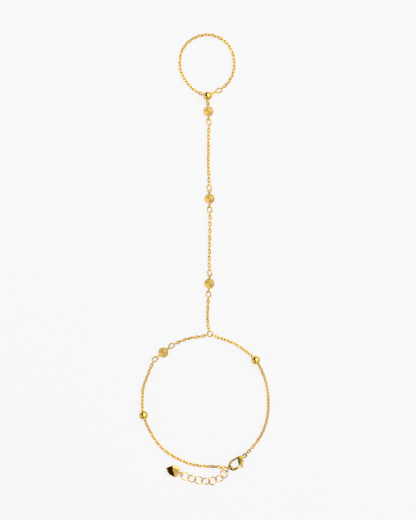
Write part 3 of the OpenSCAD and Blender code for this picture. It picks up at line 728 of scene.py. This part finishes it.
def make_floor():
    data = bpy.data.meshes.new("floor")
    corners = [(x * FLOOR_HALF, y * FLOOR_HALF, -FLOOR_DROP) for x, y in ((-1, -1), (1, -1), (1, 1), (-1, 1))]
    data.from_pydata(corners, [], [(0, 1, 2, 3)])
    floor = new_object("floor", data)
    m = bpy.data.materials.new("pale_table")
    m.use_nodes = True
    shader = m.node_tree.nodes["Principled BSDF"]
    shader.inputs["Base Color"].default_value = (FLOOR_GREY, FLOOR_GREY, FLOOR_GREY, 1)
    shader.inputs["Roughness"].default_value = FLOOR_ROUGH
    shader.inputs["Specular IOR Level"].default_value = FLOOR_SHINE
    shader.inputs["Emission Color"].default_value = (1, 1, 1, 1)
    shader.inputs["Emission Strength"].default_value = FLOOR_GLOW
    data.materials.append(m)


def make_lamp(name, place, size, power):
    """Area lamp aimed at the middle of the frame."""
    data = bpy.data.lights.new(name, "AREA")
    data.shape = "RECTANGLE"
    data.size, data.size_y = size
    data.energy = power
    lamp = new_object(name, data)
    lamp.location = place
    lamp.rotation_euler = (-Vector(place)).to_track_quat("-Z", "Y").to_euler()


def make_world():
    """A white tent with a dark gap left of the camera and darker low walls, which polished gold mirrors."""
    world = bpy.data.worlds.new("tent")
    bpy.context.scene.world = world
    world.use_nodes = True
    t = world.node_tree
    link = t.links.new
    back = t.nodes["Background"]
    xyz = node(t, "ShaderNodeSeparateXYZ")
    link(node(t, "ShaderNodeTexCoord").outputs["Generated"], xyz.inputs["Vector"])
    z = node(t, "ShaderNodeMath", operation="MAXIMUM")
    link(xyz.outputs["Z"], z.inputs[0])
    z.inputs[1].default_value = LEAST_Z

    def over_z(axis):
        n = node(t, "ShaderNodeMath", operation="DIVIDE")
        link(xyz.outputs[axis], n.inputs[0])
        link(z.outputs[0], n.inputs[1])
        return n.outputs[0]

    def ramp(value, edge, low, high):
        n = node(
            t, "ShaderNodeMapRange", interpolation_type="SMOOTHSTEP",
            From_Min=edge[0], From_Max=edge[1], To_Min=low, To_Max=high,
        )
        link(value, n.inputs["Value"])
        return n.outputs["Result"]

    def times(a, b):
        n = node(t, "ShaderNodeMath", operation="MULTIPLY")
        link(a, n.inputs[0])
        link(b, n.inputs[1])
        return n.outputs[0]

    across = over_z("X")
    along = node(t, "ShaderNodeMath", operation="ABSOLUTE")
    link(over_z("Y"), along.inputs[0])
    gap = times(ramp(across, GAP_LEFT, 0, 1), ramp(across, GAP_RIGHT, 1, 0))
    gap = times(gap, ramp(along.outputs[0], GAP_END, 1, 0))
    lit = times(ramp(xyz.outputs["Z"], WALL_EDGE, WALL_LIGHT, 1), ramp(gap, (0, 1), 1, GAP_LIGHT))
    colour = node(t, "ShaderNodeCombineColor")
    for socket in ("Red", "Green", "Blue"):
        link(lit, colour.inputs[socket])
    seen = node(t, "ShaderNodeMix", data_type="RGBA")
    link(node(t, "ShaderNodeLightPath").outputs["Is Camera Ray"], seen.inputs["Factor"])
    link(colour.outputs["Color"], seen.inputs["A"])
    seen.inputs["B"].default_value = (BACKDROP, BACKDROP, BACKDROP, 1)
    link(seen.outputs["Result"], back.inputs["Color"])


make_camera()
make_floor()
make_world()
for name, lamp in LAMPS.items():
    make_lamp(name, **lamp)

golds = {slot: gold(slot, **look) for slot, look in GOLDS.items()}
for shown in frame["nodes"].values():
    for used in shown.material_slots:
        used.material = golds[used.material.name.split(".")[0]]

for cad in LINK_CHAINS:
    broad = SOLID_SIDES.get(cad, 0) * MM
    ovals = [oval_of(*solid) for solid in solids_of(cad)]
    links = [tube(oval_rows(oval, LINK_THICKER * MM, LINK_STEPS, broad=broad), LINK_SIDES) for oval in ovals]
    stand_for(cad + "_links", mesh_of(cad + "_links", merged(links)), cad, "chain")
ovals = [oval_of(*solid) for solid in solids_of("extender_chain")]
rings = [tube(oval_rows(oval, RING_THICKER * MM, RING_STEPS), RING_SIDES) for oval in ovals]
stand_for("extender_rings", mesh_of("extender_rings", merged(rings)), "extender_chain", "ring")
for cad, split in SPLIT_RINGS.items():
    (solid,) = solids_of(cad)
    wire = tube(oval_rows(oval_of(*solid), RING_THICKER * MM, RING_STEPS, split), RING_SIDES, closed=False)
    stand_for(cad + "_wire", mesh_of(cad + "_wire", wire), cad, "ring")

way = Vector((math.cos(math.radians(HAND_DIR)), math.sin(math.radians(HAND_DIR)), 0))
# Disc 1 starts with its thin eye, which the upper end of its node's box gives
thin_end = DISC_D / 2 + LOOP_REACH + LOOP_R + LOOP_WIRE
disc_1_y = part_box("disc_1")[1].y / MM - thin_end
disc_1_at = Vector((*FINGER_BEAD_AT, 0)) + way * (disc_1_y - FINGER_BEAD_AT[1]) / way.y
disc_data = disc_mesh("disc", False)
disc_1_place = place_at(disc_1_at.x, disc_1_at.y, CHAIN_Z, HAND_DIR)
stand_for("disc_1_coin", disc_mesh("disc_1_mesh", True), "disc_1", "disc", disc_1_place)
for cad, (at_xy, angle) in DISCS.items():
    stand_for(cad + "_coin", disc_data.copy(), cad, "disc", place_at(*at_xy, CHAIN_Z, angle))

heart_place = place_at(*HEART_AT, HEART_T / 2 + HEART_GAP, HEART_DIR)
stand_for("heart_puff", heart(), "heart_tag", "heart", heart_place)
clasp_place = place_at(*CLASP_AT, CLASP_Z, CLASP_DIR)
stand_for("clasp_hook", clasp_body(), "clasp_body", "clasp_body", clasp_place)
stand_for("clasp_trigger", clasp_lever(), "clasp_lever", "clasp_lever", clasp_place)

bpy.context.scene.view_settings.view_transform = "Standard"
